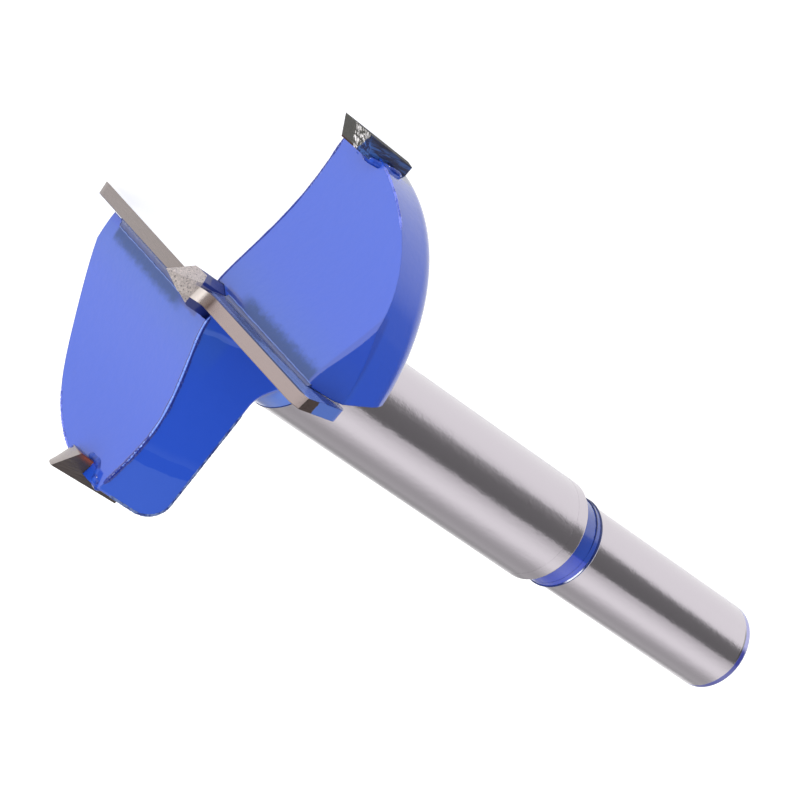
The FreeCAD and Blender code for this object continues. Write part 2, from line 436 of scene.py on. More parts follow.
on_neck = body.fade(z, -13.0, -11.0)
blue = body.layered(
    LACQUER_BLUE,
    (0.7 * on_neck, NECK_BLUE),
    (0.28 * on_wall * ran_down, RUN_DOWN_BLUE),
    (0.4 * on_wall * wedge, WEDGE_BLUE),
    (0.25 * shade_fringe, SHADE_FRINGE_BLUE),
    (0.95 * shade, PAINTED_REFLECTION_BLUE),
    (0.8 * corner_shade, CORNER_SHADE_BLUE),
    (by_spur, body.mix(streaks, NAVY, STREAK_BLUE)),
    (band, body.mix(body.ease(y, 0.2, 0.5), BAND_DEEP, BAND_SHADE_BLUE)),
    (0.85 * tip, body.mix(0.75 * glare, TIP_VIOLET, TIP_GLARE)),
    (0.5 * facet_shade, FACET_SHADE_BLUE),
)
steel = body.mix(0.6 * tip_line, STEEL_GREY, TIP_LINE_GREY)
body.report("colours of the body")

# %% [markdown]
# The bare steel was ground on centres, so its grain runs round the axis and is fine along it, and
# handling has worn it unevenly. The lacquer has a soft ripple instead. All corners are eased a
# little, except at the seam of the neck's end lip, where two pieces meet in one plane.

# %% Grain and gloss of the body
lip_start = NECK_END + NECK_LIP
grain = body.noise(body.point(x, y, z * 6.0), 1.2, 3.0)
hand_worn = body.noise(body.point(x, y, z * 0.5), 0.9, 4.0, 0.65)
ripple = body.noise(spot, 0.8, 2.0)
seam = body.span(z, lip_start - 0.4, lip_start - 0.3, lip_start + 0.3, lip_start + 0.4)
# Where the lip's reflection is painted, the coat is thinner, so the face mirrors less there.
body.shade(
    Base_Color=body.mix(lacquer, steel, blue),
    Metallic=1.0 - lacquer,
    Roughness=0.14 + 0.2 * lacquer + 0.1 * (grain - 0.5),
    Coat_Weight=lacquer * (1.0 - 0.55 * shade),
    Coat_Roughness=0.06,
    Normal=body.bump(
        (0.3 * grain + 0.45 * hand_worn) * (1.0 - lacquer) + ripple * lacquer,
        0.12, 0.0004, corner=0.00022 * (1.0 - seam),
    ),
    IOR=1.35,
    Coat_IOR=1.85,
)

# %% [markdown]
# The cutter is sintered carbide. Its lips are ground to a soft shine, the flats of its point are
# left rough from the wheel, and the lacquer that ran down the head covers the backs of the lips
# and the feet of their ends. The end of each lip is bare and brown where the lacquer stops.

# %% Parts of the cutter
POINT_REACH = 1.15
LIP_RADIUS = 22.4
BARE_END = 2.0

cutter = Finish(bpy.data.materials.new("cutter_carbide"))
spot, x, y, z = cutter.tool_point()
side = x.sign()
lip_x = x * side
lip_y = y * side
depth = -z
speckle = cutter.noise(spot, 4.5, 4.0, 0.75)
near_point = cutter.fade(lip_x, POINT_REACH, POINT_REACH + 0.15)
behind = cutter.ease(lip_y + LIP_LEAN * z, LIP_BACK - 0.07, LIP_BACK - 0.02)
behind = behind * (1.0 - near_point)
flank = near_point * cutter.ease(abs(y), 0.5, 0.6)
flank = flank * cutter.fade(z - 0.62 * lip_x + 0.2 * (speckle - 0.5), -0.05, 0.05)
low = cutter.fade(z + 0.3 * (speckle - 0.5), -BARE_END - 0.05, -BARE_END + 0.05)
low = low * cutter.ease(lip_x, 4.0, 5.0)
coated = low.most(behind).most(flank)
on_end = cutter.ease(lip_x, LIP_RADIUS - 0.06, LIP_RADIUS - 0.01)
cutter.report("parts of the cutter")

# %% [markdown]
# Where a lip meets the point, the wheel left a blend and a darker hollow beside it; the blend is
# painted bright as a highlight. The lip on the -x side is painted a darker grey than the other, as
# shade. The point's flats show the grit of the carbide as dark pits and pale specks.

# %% Ground carbide
LIP_GREY = colour(176, 161, 160)
# Painted shade: the lip on the -x side is darker.
SHADED_LIP_GREY = colour(146, 139, 138)
STREAK_GREY = colour(188, 172, 166)
# Painted highlight on the blend between lip and point.
BLEND_HIGHLIGHT_WHITE = colour(238, 228, 221)
HOLLOW_GREY = colour(112, 96, 90)
CARBIDE_BROWN = colour(96, 84, 82)
POINT_GREY = colour(205, 195, 190)
PIT_GREY = colour(84, 72, 74)
SPECK_WHITE = colour(235, 222, 216)

streak = cutter.noise(cutter.point(x * 0.4, y * 5.0, z * 0.4), 2.0, 3.0)
blend = cutter.span(lip_x, POINT_REACH, POINT_REACH + 0.15, 1.5, 2.3)
hollow = cutter.span(lip_x, 1.8, 2.6, 2.9, 3.8)
dots = cutter.noise(spot, 5.5, 1.0)
pits = near_point * cutter.ease(dots, 0.6, 0.68)
specks = near_point * cutter.fade(dots, 0.36, 0.44)
ground = cutter.layered(
    SHADED_LIP_GREY,
    (cutter.ease(x, -0.5, 0.5), LIP_GREY),
    (0.4 * streak, STREAK_GREY),
    (0.85 * blend, BLEND_HIGHLIGHT_WHITE),
    (0.75 * hollow, HOLLOW_GREY),
    (on_end, CARBIDE_BROWN),
    (near_point, POINT_GREY),
    (0.6 * pits, PIT_GREY),
    (0.6 * specks, SPECK_WHITE),
)
cutter.report("ground carbide")

# %% [markdown]
# The lacquer on the back of a lip is painted a dark slate as shade, and on the rear flanks of the
# point a darker blue, also as shade. The lacquer left a black outline under the edge; below that a
# paler line is painted as a highlight, and the right lip has a paler patch.

# %% Lacquer on the cutter
# Painted shade on the backs of the lips.
BACK_SHADE_BLUE = colour(38, 56, 116)
PATCH_BLUE = colour(120, 144, 214)
# Painted highlight: the paler line under the black outline.
GLINT_BLUE = colour(120, 146, 214)
OUTLINE_NAVY = colour(26, 26, 58)
END_BLUE = colour(52, 92, 178)
# Painted shade on the rear flanks of the point.
FLANK_SHADE_BLUE = colour(18, 38, 120)

outline = cutter.fade(depth, 0.4, 0.5)
glint = cutter.span(depth, 0.45, 0.55, 0.85, 1.0)
patch_reach = cutter.fade(depth - 0.12 * x + 0.5 * (speckle - 0.5), 0.05, 0.15)
patch = cutter.ease(x, 10.4, 12.0) * patch_reach
coat = cutter.layered(
    LACQUER_BLUE,
    (behind, BACK_SHADE_BLUE),
    (0.8 * patch * behind, PATCH_BLUE),
    (0.5 * glint * behind, GLINT_BLUE),
    (outline * behind, OUTLINE_NAVY),
    (on_end, END_BLUE),
    (flank, FLANK_SHADE_BLUE),
)
cutter.shade(
    Base_Color=cutter.mix(coated, ground, coat),
    Metallic=(1.0 - coated) * (1.0 - 0.5 * near_point) * (1.0 - 0.7 * blend),
    Roughness=0.24 + 0.3 * near_point,
    Coat_Weight=coated,
    Coat_Roughness=0.06,
    Normal=cutter.bump(speckle * (0.25 + near_point), 0.25, 0.0003, corner=0.00012),
)

# %% [markdown]
# A spur has a bright ground top and sides that stay brown from the brazing. Its heel was brushed
# over with lacquer. The left spur is thicker, so its inner side lies nearer to the axis.

# %% Parts of a spur
SPUR_BACK = 3.4
SPUR_FRONT = 0.36
SPUR_INNER_LEFT = 19.8
SPUR_INNER_RIGHT = 20.4

spur = Finish(bpy.data.materials.new("spur_carbide"))
spot, x, y, z = spur.tool_point()
side = y.sign()
right = spur.ease(side, -0.5, 0.5)
spur_x = x * side
spur_y = y * side
from_inner = spur_y - SPUR_INNER_LEFT - (SPUR_INNER_RIGHT - SPUR_INNER_LEFT) * right
speckle = spur.noise(spot, 3.0, 4.0, 0.7)
on_front = spur.fade(spur_x, SPUR_FRONT + 0.01, SPUR_FRONT + 0.05)
on_back = spur.ease(spur_x, SPUR_BACK - 0.05, SPUR_BACK - 0.01)
on_outside = spur.ease(side * spur.facing(0.0, 1.0, 0.0), 0.8, 0.9)
foot = spur.fade(z + 0.9 * (speckle - 0.5), -4.6, -4.3)
brush_edge = spur_x - 0.6 * (spur_y - SPUR_INNER_RIGHT) + 0.5 * (speckle - 0.5)
brushed = spur.ease(brush_edge, 1.95, 2.05) * right
coated = on_back.most(foot * (1.0 - on_front)).most(brushed)
spur.report("parts of a spur")

# %% [markdown]
# The right spur's top has pale scratches next to the lacquer, a brown line runs along the inner
# edge of both, and the braze left a rusty stain on the front.

# %% Bare carbide of the spurs
SPUR_GREY = colour(150, 149, 144)
SPUR_PALE = colour(181, 172, 169)
SPUR_BROWN = colour(80, 71, 68)
RUST = colour(186, 92, 48)
EDGE_BROWN = colour(120, 66, 58)
SCRATCH_AND_SPARKLE_WHITE = colour(252, 248, 246)

scratches = spur.point(x * 8.0 + y * 1.5, y * 1.3, 0.0)
scratches = spur.noise(scratches, 1.0, 3.0, 0.6)
gaps = spur.noise(spur.point(x * 3.0, y * 3.0, 0.0), 1.0, 1.0)
scratched = spur.ease(spur_x, 1.4, 1.7) * right * (1.0 - coated)
scratched = scratched * spur.ease(scratches, 0.5, 0.54)
scratched = scratched * spur.ease(gaps, 0.38, 0.46)
rusted = on_front * spur.fade(from_inner + 0.5 * (speckle - 0.5), 0.1, 0.8)
rusted = rusted * (1.0 - 0.7 * spur.ease(z, -3.4, -2.6))
edge_line = spur.fade(from_inner, 0.1, 0.24) * (1.0 - on_back)
bare = spur.layered(
    SPUR_PALE,
    (right, SPUR_GREY),
    (on_front, SPUR_BROWN),
    (0.75 * rusted, RUST),
    (0.7 * edge_line, EDGE_BROWN),
    (scratched, SCRATCH_AND_SPARKLE_WHITE),
)
spur.report("bare carbide of the spurs")

# %% [markdown]
# The lacquer on a spur was dabbed on with a stiff brush, so it shows hairs of dark and light. Its
# outer side lies in the shadow of the rim and is painted nearly black and dark grey, as shade.

# %% Lacquer on the spurs
HAIR_NAVY = colour(16, 26, 70)
HAIR_BLUE = colour(44, 82, 148)
# Painted shade on the outer side of a spur.
RIM_SHADE_BLACK = colour(14, 12, 34)
OUTSIDE_SHADE_GREY = colour(30, 28, 32)

hairs = spur.point(x * 4.0, y * 3.5 + z * 0.5, z * 0.5)
hairs = spur.noise(hairs, 1.3, 3.0, 0.6)
rim_side = spur.ease(spur_y + 0.1 * z, 21.2, 21.9)
paint = spur.layered(
    HAIR_NAVY,
    (spur.ease(hairs, 0.42, 0.62), HAIR_BLUE),
    (0.7 * rim_side, RIM_SHADE_BLACK),
)
still_metal = (1.0 - on_outside) * (1.0 - 0.7 * on_front)
spur.shade(
    Base_Color=spur.mix(on_outside, spur.mix(coated, bare, paint), OUTSIDE_SHADE_GREY),
    Metallic=(1.0 - coated) * (1.0 - 0.8 * scratched) * still_metal,
    Roughness=0.25 + 0.2 * speckle + 0.3 * on_outside,
    Coat_Weight=0.5 * coated * (1.0 - on_outside),
    Coat_Roughness=0.1,
    Normal=spur.bump(hairs + coated * speckle, 0.3, 0.0002, corner=0.00008),
)

# %% [markdown]
# A imported solid comes with flat facets. Welding its points and splitting only the sharp edges
# makes its curved faces shine as one, while its shape stays the same.

# %% Finishes go on, and curved surfaces turn smooth
SHARP = 24


def dress(node, finish):
    """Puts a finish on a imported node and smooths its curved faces, whose points stay put."""
    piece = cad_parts[node]
    piece.data.materials.clear()
    piece.data.materials.append(finish.owner)
    piece.data.polygons.foreach_set("use_smooth", np.ones(len(piece.data.polygons), bool))
    weld = piece.modifiers.new("weld", "WELD")
    weld.merge_threshold = 1e-6
    split = piece.modifiers.new("edges", "EDGE_SPLIT")
    split.split_angle = math.radians(SHARP)
    return piece


for node, finish in (
    ("body", body), ("cutter", cutter), ("spur_right", spur),
):
    piece = dress(node, finish)
    print(node, len(piece.data.polygons), "faces in", finish.owner.name)

# %% [markdown]
# The lacquer was put on thick. It drew itself into a fillet in each corner and into a bead along
# each sharp edge, and it lies over the braze round the spurs. All of these are long thin forms:
# a ring of points carried along a path, computed as one array of stations by points. None of them
# is even, so their sizes wander a little and taper at the ends.

# %% Uneven runs


def wander(along, waves, seed):
    """A smooth random line of about -1 to 1: a sum of sines of 1 to that many waves."""
    chance = np.random.default_rng(seed)
    count = np.arange(1, waves + 1)
    phase = chance.uniform(0, 2 * np.pi, waves)
    weight = chance.uniform(0.4, 1.0, waves)
    sines = weight * np.sin(2 * np.pi * count * along[..., None] + phase)
    return sines.sum(-1) / np.sqrt((weight ** 2).sum())


def tapered(along, share, least):
    """1 in the middle of a run, and less towards its ends, over a share of its length."""
    return np.clip(np.minimum(along, 1 - along) / share, least, 1)


print("a wandering line at its middle", wander(np.array([0.5]), 9, 4).round(3))

# %% [markdown]
# A skin is closed by a fan at each end. Its volume, a sum of triple products over its triangles,
# comes out negative when they face inwards, and then they are all turned round.

# %% A skin over rings


def tube(name, rings, finish, turned=False, sharp=None):
    """A closed skin over rings of points (stations, round, 3) in the tool's frame, in mm.

    A turned one is made half a turn round the tool's axis, at (-x, -y, z), which is where the
    other wing has it. Edges that turn by more than sharp degrees stay crisp.
    """
    if turned:
        rings = rings * np.array([-1, -1, 1])
    stations, around = rings.shape[:2]
    points = np.concatenate([rings.reshape(-1, 3), [rings[0].mean(0), rings[-1].mean(0)]])
    row = np.arange(stations - 1)[:, None] * around
    here = np.arange(around)
    after = (here + 1) % around
    corners = [row + here, row + after, row + around + after, row + around + here]
    sides = np.stack([corner.ravel() for corner in corners], -1)
    last = (stations - 1) * around
    first_end = np.stack([np.full(around, len(points) - 2), after, here], -1)
    last_end = np.stack([np.full(around, len(points) - 1), last + here, last + after], -1)
    triangles = np.concatenate([sides[:, [0, 1, 2]], sides[:, [0, 2, 3]], first_end, last_end])
    a, b, c = (points[triangles[:, corner]] for corner in range(3))
    if np.einsum("ij,ij->i", a, np.cross(b, c)).sum() < 0:
        sides, first_end, last_end = sides[:, ::-1], first_end[:, ::-1], last_end[:, ::-1]
    mesh = bpy.data.meshes.new(name)
    faces = sides.tolist() + first_end.tolist() + last_end.tolist()
    mesh.from_pydata(placed(points).tolist(), [], faces)
    mesh.polygons.foreach_set("use_smooth", np.ones(len(mesh.polygons), bool))
    if sharp:
        mesh.set_sharp_from_angle(angle=math.radians(sharp))
    mesh.materials.append(finish.owner)
    piece = bpy.data.objects.new(name, mesh)
    bpy.context.scene.collection.objects.link(piece)
    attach(piece, "root")
    print(name, len(mesh.polygons), "faces")
    return piece


# %% [markdown]
# A ring stands across its path. Two directions do that: one at right angles to the path and to a
# fixed direction in which no path runs, and one at right angles to both.

# %% Rings along a path
NO_PATH_RUNS = np.array([0.31, 0.2, 0.93])


def carried(path, size, around=10):
    """Round rings across a path: path + size * (cos a * u + sin a * v), u and v across it."""
    ahead = np.gradient(path, axis=0)
    ahead /= np.linalg.norm(ahead, axis=1, keepdims=True)
    across = np.cross(ahead, NO_PATH_RUNS)
    across /= np.linalg.norm(across, axis=1, keepdims=True)
    upright = np.cross(ahead, across)
    angle = np.linspace(0, 2 * np.pi, around, endpoint=False)
    reach = np.cos(angle)[:, None] * across[:, None] + np.sin(angle)[:, None] * upright[:, None]
    return path[:, None] + np.broadcast_to(size, len(path))[:, None, None] * reach


# %% [markdown]
# The dished face of a wing is one curve drawn along the lip. It is a cubic through four points
# with a given slope at both ends, so the slopes at its two inner points come from two equations.

# %% Depth of the dish
DISH_Y = np.array([2.0, 5.4, 13.0, 23.0])
DISH_Z = np.array([-2.5, -3.3, -4.95, -4.0])
DISH_ENDS = (-0.12, 0.14)


def dish_slopes(first, last):
    """Slopes at the four points, so that the curve bends evenly through the inner two."""
    step = np.diff(DISH_Y)
    rise = np.diff(DISH_Z) / step
    rows = [
        [2 * (1 / step[0] + 1 / step[1]), 1 / step[1]],
        [1 / step[1], 2 * (1 / step[1] + 1 / step[2])],
    ]
    right = [
        3 * (rise[0] / step[0] + rise[1] / step[1]) - first / step[0],
        3 * (rise[1] / step[1] + rise[2] / step[2]) - last / step[2],
    ]
    return np.array([first, *np.linalg.solve(rows, right), last])


def dish(distance):
    """Depth of the face at distances from the lip, by cubic Hermite pieces."""
    slopes = dish_slopes(*DISH_ENDS)
    part = np.clip(np.searchsorted(DISH_Y, distance) - 1, 0, 2)
    step = np.diff(DISH_Y)[part]
    t = (distance - DISH_Y[part]) / step
    inside = (
        DISH_Z[part] * (1 + 2 * t) * (1 - t) ** 2
        + DISH_Z[part + 1] * t ** 2 * (3 - 2 * t)
        + slopes[part] * step * t * (1 - t) ** 2
        - slopes[part + 1] * step * t ** 2 * (1 - t)
    )
    return np.where(distance < DISH_Y[0], -FOOT_DEPTH, inside)


print("dish at 9 and 17", dish(np.array([9.0, 17.0])).round(3))

# %% [markdown]
# A bead of lacquer sits on the sharp trailing edge of each wing, where the face meets the wall of
# the gullet. It is as uneven as any run of paint. Its broken bright line is a painted highlight
# along the crest, where the bead faces up and out, and the rest of the bead is dark blue.

# %% Finish of the beads
BEAD_HIGHLIGHT_BLUE = colour(104, 138, 226)
DEEP_BLUE = colour(18, 40, 134)

bead = Finish(bpy.data.materials.new("lacquer_bead"))
spot, x, y, z = bead.tool_point()
side = y.sign()
distance = y * side
up_share = bead.facing(0.0, 0.0, 0.8) * 0.8
facing_out = up_share - side * bead.facing(1.0, 0.0, 0.0) * 0.6
# Painted highlight along the crest of the bead.
crest = bead.ease(facing_out, 0.88, 0.96)
beads = bead.noise(bead.point(x * 1.5, y * 1.7, z * 1.5), 1.0, 3.0, 0.65)
broken = bead.ease(beads - 0.17 * bead.ease(distance, 9.0, 15.0), 0.3, 0.38)
broken = broken * bead.fade(distance, 18.2, 19.2)
bead.shade(
    Base_Color=bead.mix(crest * broken, DEEP_BLUE, BEAD_HIGHLIGHT_BLUE),
    Roughness=0.2 + 0.1 * beads,
    Coat_Weight=1.0,
    Coat_Roughness=0.05,
    Normal=bead.bump(bead.noise(spot, 2.0, 2.0), 0.1, 0.0002),
)

# %% [markdown]
# Lacquer over the braze is uneven in colour, with a few white specks painted on it as highlights.
# The fillets in the corners behind the lips are painted a dark slate as shade, drawn out along the
# lip.

# %% Finishes of the runs and fillets
RUN_NAVY = colour(18, 44, 132)
RUN_BLUE = colour(34, 74, 178)
# Painted shade in the corner fillets behind the lips.
SLATE_DARK = colour(26, 40, 92)
SLATE_LIGHT = colour(48, 70, 140)

runs = Finish(bpy.data.materials.new("lacquer_runs"))
spot = runs.tool_point()[0]
run_grain = runs.noise(spot, 1.1, 3.0)
# Painted highlights: a few white specks on the runs.
sparkle = runs.ease(runs.noise(spot, 2.4, 1.0), 0.72, 0.76)
run_blue = runs.layered(
    RUN_NAVY, (runs.ease(run_grain, 0.38, 0.62), RUN_BLUE), (sparkle, SCRATCH_AND_SPARKLE_WHITE),
)
runs.lacquer(run_blue, run_grain, 0.15, 0.4, 0.04, 0.12, 0.0002, IOR=1.35)

slate = Finish(bpy.data.materials.new("lacquer_fillets"))
x, y, z = slate.tool_point()[1:]
slate_grain = slate.noise(slate.point(x * 0.5, y * 2.0, z * 2.0), 1.5, 3.0)
slate_blue = slate.mix(slate_grain, SLATE_DARK, SLATE_LIGHT)
slate.lacquer(slate_blue, slate_grain, 0.2, 1.0, 0.06, 0.2, 0.0002)

# %% [markdown]
# The ridges are nearly navy, with a short white glance painted on their upper side as a highlight.
# The crest of a fillet is painted paler than the fillet, as a highlight.

# %% Finishes of the ridges and crests
RIDGE_DARK = colour(8, 24, 80)
RIDGE_LIGHT = colour(16, 44, 118)
GLANCE_WHITE = colour(236, 240, 255)
# Painted highlight: the crest line of a fillet is paler.
CREST_DARK = colour(62, 88, 160)
CREST_LIGHT = colour(100, 130, 200)

ridge = Finish(bpy.data.materials.new("lacquer_ridges"))
spot, x, y, z = ridge.tool_point()
ridge_grain = ridge.noise(spot, 0.6, 2.0)
# Painted highlight on the upper side of the band's last ridge.
glance = ridge.span(y, -3.0, -2.2, -0.9, -0.1) * ridge.ease(x, 0.0, 1.0)
glance = glance * ridge.ease(ridge.facing(0.0, 0.0, 1.0), 0.1, 0.35)
glance = glance * ridge.fade(z, -59.8, -59.7)
ridge_blue = ridge.layered(RIDGE_DARK, (ridge_grain, RIDGE_LIGHT), (glance, GLANCE_WHITE))
ridge.lacquer(ridge_blue, ridge_grain, 0.2, 0.5, 0.04, 0.05, 0.0001)

crest_line = Finish(bpy.data.materials.new("lacquer_crest"))
x = crest_line.tool_point()[1]
line_grain = crest_line.noise(crest_line.point(x * 1.2, 0.0, 0.0), 1.0, 3.0)
line_blue = crest_line.mix(line_grain, CREST_DARK, CREST_LIGHT)
crest_line.lacquer(line_blue, line_grain, 0.2, 1.0, 0.05, 0.1, 0.0001)

# %% [markdown]
# The rims' edges carry a pale, patchy line painted as a highlight. At the end of the groove band the
# same kind of edge has a nearly white painted highlight, so one finish serves both and changes along
# the tool.

# %% Finish of the pale edges
# Painted highlight on the rims' edges and at the end of the groove band.
PALE_DARK = colour(40, 66, 176)
PALE_LIGHT = colour(106, 122, 224)
PALE_HIGHLIGHT_WHITE = colour(240, 238, 250)

pale = Finish(bpy.data.materials.new("pale_edges"))
spot, *_, z = pale.tool_point()
pale_grain = pale.noise(spot, 1.3, 3.0, 0.6)
on_shank = pale.fade(z, -30.0, -20.0)
pale_blue = pale.layered(
    PALE_DARK, (pale.ease(pale_grain, 0.38, 0.56), PALE_LIGHT), (on_shank, PALE_HIGHLIGHT_WHITE),
)
pale.lacquer(pale_blue, pale_grain, 0.25, 1.0 - on_shank, 0.06, 0.1, 0.0001)

# %% [markdown]
# The trailing edge is where the dish meets the gullet's wall, a plane that leans two ways from the
# gullet's inner corner: corner + run * along the wall + fall * down the wall. The bead is carried
# along it, sunk a little into the steel.

# %% Beads on the trailing edges
GULLET_CORNER = np.array([2.15, 1.8, -4.8])
WALL_FALL = np.array([math.tan(math.radians(22)), math.tan(math.radians(23)), -1.0])
WALL_RUN = np.array([math.tan(math.radians(2.5)), -1.0, 0.0])
BEAD_START = 1.1
BEAD_REACH = 19.6
BEAD_SUNK = 0.14 * np.array([-0.55, 0.02, -0.83])


def wall_edge(distance):
    """Points where a wing's face meets its trailing wall, at distances from the lip's line."""
    depth = dish(distance)
    fall = GULLET_CORNER[2] - depth
    run = GULLET_CORNER[1] + fall * WALL_FALL[1] + distance
    across = GULLET_CORNER[0] + run * WALL_RUN[0] + fall * WALL_FALL[0]
    return np.stack([across, -distance, depth], -1)


along = np.linspace(0, 1, 320)
edge = wall_edge(BEAD_START + BEAD_REACH * along) + BEAD_SUNK
ends = tapered(along, 0.04, 0.2) ** 0.5
for name, size, seed, turned in (
    ("edge_bead_left", 0.26, 3, False), ("edge_bead_right", 0.18, 8, True),
):
    lumps = size * (1 + 0.046 * wander(along, 70, seed) + 0.096 * wander(along, 9, seed + 1))
    rings = carried(edge, np.clip(lumps, 0.6 * size, 1.2 * size) * ends, 16)
    tube(name, rings, bead, turned)

# %% [markdown]
# Round the outer edge of the gullet's wall a greyish, uneven line is painted as a highlight. The
# wing that lies on the floor has none.

# %% Finish of the thin line
# Painted highlight along the outer edge of the left wall.
EDGE_LINE_DARK = colour(34, 52, 120)
EDGE_LINE_LIGHT = colour(98, 116, 160)

thin = Finish(bpy.data.materials.new("edge_highlight_line"))
spot = thin.tool_point()[0]
edge_grain = thin.noise(spot, 1.6, 3.0, 0.6)
edge_line_blue = thin.mix(thin.ease(edge_grain, 0.36, 0.6), EDGE_LINE_DARK, EDGE_LINE_LIGHT)
thin.lacquer(edge_line_blue, edge_grain, 0.3, 0.3, 0.08, 0.1, 0.0001, IOR=1.35)

# %% [markdown]
# The edge is where the wall's plane, x + t*y + s*z = k, meets a circle round the axis: first on
# the back of the head, then round its corner, then up the rim. With x = k - t*y - s*z put into
# x*x + y*y = r*r, y follows from a square root. The line sits on the rounded edge, along the
# middle of the two faces' normals.

# %% Line on the outer edge of the left wall
BACK_DEPTH = -8.3
BACK_ROUND = 2.5
BACK_REACH = 19.0
EDGE_ROUND = 0.25
LINE_START = 8.0
LINE_TOP = -5.2
ON_BACK, ON_BEND, ON_RIM = 110, 60, 50

bend = [np.zeros(ON_BACK), np.linspace(0, 90, ON_BEND), np.full(ON_RIM, 90.0)]
bend = np.radians(np.concatenate(bend))
radius = BACK_REACH + BACK_ROUND * np.sin(bend)
radius[:ON_BACK] = np.linspace(LINE_START, BACK_REACH, ON_BACK, endpoint=False)
depth = BACK_DEPTH - BACK_ROUND * np.cos(bend)
depth[-ON_RIM:] = np.linspace(BACK_DEPTH, LINE_TOP, ON_RIM + 1)[1:]
wall_out = -np.cross(WALL_FALL, WALL_RUN)
slant = wall_out[1]
across = wall_out @ GULLET_CORNER - wall_out[2] * depth
out = np.sqrt(radius ** 2 * (1 + slant ** 2) - across ** 2) - across * slant
out = out / (1 + slant ** 2)
corner = np.stack([across + slant * out, -out, depth], -1)
other_out = corner * (np.sin(bend) / radius)[:, None]
other_out[:, 2] = -np.cos(bend)
between = wall_out / np.linalg.norm(wall_out) + other_out
size = np.linalg.norm(between, axis=1)
sunk = EDGE_ROUND * (2 / size - 1) + 0.1
along = np.linspace(0, 1, len(bend))
thick = (0.185 + 0.014 * wander(along, 60, 41)) * tapered(along, 0.04, 0.2)
rings = carried(corner - between * (sunk / size)[:, None], thick, 12)
tube("wall_edge_left", rings, thin)

# %% [markdown]
# Behind each lip the lacquer fills the corner with a hollow fillet. Its section is a quarter of an
# ellipse from the lip's leaning back down to the flat foot, closed underneath inside the steel.
# A thin crest runs along the fillet's outer edge, where the lacquer drew itself together. The
# left fillet is wider and starts further out. Both sway with the same random line.

# %% Fillets behind the lips
FILLET_HEIGHT = 0.42
FILLET_UNDER = 0.12
CREST_SIZE = 0.075

along = np.linspace(0, 1, 220)
turn = np.linspace(0, np.pi / 2, 9)
for name, seed, turned, crest_y, first, last in (
    ("right", 21, False, 1.56, 1.3, 19.2), ("left", 34, True, 1.9, 3.9, 18.8),
):
    out = first + (last - first) * along
    sway = 0.02 * wander(along, 12, seed + 1)
    high = FILLET_HEIGHT + 0.03 * wander(along, 10, seed)
    wide = crest_y - LIP_BACK - LIP_LEAN * FOOT_DEPTH + sway
    lift = high[:, None] * (1 - np.sin(turn)) + 0.02
    back = LIP_BACK + LIP_LEAN * (FOOT_DEPTH - lift)
    gone = wide[:, None] * (1 - np.cos(turn))
    under = np.full((len(along), 1), -FILLET_UNDER)
    section_y = [back + gone, back[:, -1:] + wide[:, None], back[:, :1] - 0.25]
    section_y = np.concatenate(section_y, 1)
    section_z = np.concatenate([lift, under, under], 1) - FOOT_DEPTH
    section_x = np.broadcast_to(out[:, None], section_y.shape)
    rings = np.stack([section_x, section_y, section_z], -1)
    tube("lip_fillet_" + name, rings, slate, turned)
    crest = np.stack([out, crest_y + sway, np.full_like(out, -FOOT_DEPTH)], -1)
    size = (CREST_SIZE + 0.01 * wander(along, 12, seed + 2)) * tapered(along, 0.03, 0.2)
    tube("lip_crest_" + name, carried(crest, size), crest_line, turned)

# %% [markdown]
# The braze round a spur shows as a soft swelling under the lacquer. One run lies in front of the
# spur and over the face along its inner side: on the right wing it comes up the rim, and on the
# left one it spreads along the rim's edge. A second run fills the corner behind each heel. Their
# paths turn softly, as a moving average over a line with corners.

# %% Braze round the spurs
BRAZE_FRONT = np.array([
    [-0.5, 21.3, -8.4], [-0.8, 21.2, -5.4], [-0.9, 20.7, -4.78], [-0.5, 20.1, -4.8],
    [0.6, 20.0, -4.82], [1.9, 20.15, -4.84],
])
BRAZE_MOUND = np.array([
    [2.3, 19.98, -4.95], [1.6, 19.78, -4.97], [0.8, 19.68, -4.98], [0.1, 19.68, -4.98],
    [-0.5, 19.88, -4.95], [-0.95, 20.3, -4.88], [-1.2, 20.8, -4.81], [-1.7, 21.1, -4.76],
    [-2.3, 21.1, -4.8], [-2.7, 21.0, -5.2],
])
BRAZE_HEEL = np.array([
    [2.3, 20.42, -3.1], [3.3, 20.48, -3.75], [4.1, 20.75, -4.7], [4.4, 20.95, -5.9],
    [4.1, 21.0, -7.3],
])


def softened(corners, stations=240, width=31):
    """A line through corners at even steps, then averaged along itself over a bell of weights."""
    length = np.concatenate([[0], np.cumsum(np.linalg.norm(np.diff(corners, axis=0), axis=1))])
    steps = np.linspace(0, length[-1], stations)
    line = np.stack([np.interp(steps, length, corners[:, axis]) for axis in range(3)], -1)
    bell = np.hanning(width)
    padded = np.pad(line, ((width // 2, width // 2), (0, 0)), mode="edge")
    soft = [np.convolve(padded[:, axis], bell / bell.sum(), mode="valid") for axis in range(3)]
    return np.stack(soft, -1)


along = np.linspace(0, 1, 240)
ends = tapered(along, 0.12, 0.1) ** 0.6
for name, corners, size, seed, turned in (
    ("spur_braze_right", BRAZE_FRONT, 0.36, 55, False),
    ("spur_braze_left", BRAZE_MOUND, 0.6, 66, True),
    ("spur_heel_right", BRAZE_HEEL, 0.4, 57, False),
    ("spur_heel_left", BRAZE_HEEL, 0.38, 68, True),
):
    lumps = size * (1 + 0.04 * wander(along, 7, seed))
    rings = carried(softened(corners), lumps * ends, 18)
    tube(name, rings, runs, turned)

# %% [markdown]
# A pale line is painted along the edge between the face and the rim, as a highlight. A fine bead
# follows that edge: the rim's circle, at the depth of the dish.

# %% Pale edge of the rims
RIM_EDGE_RADIUS = 21.43
RIM_EDGE_ANGLES = (11.6, 24.0)

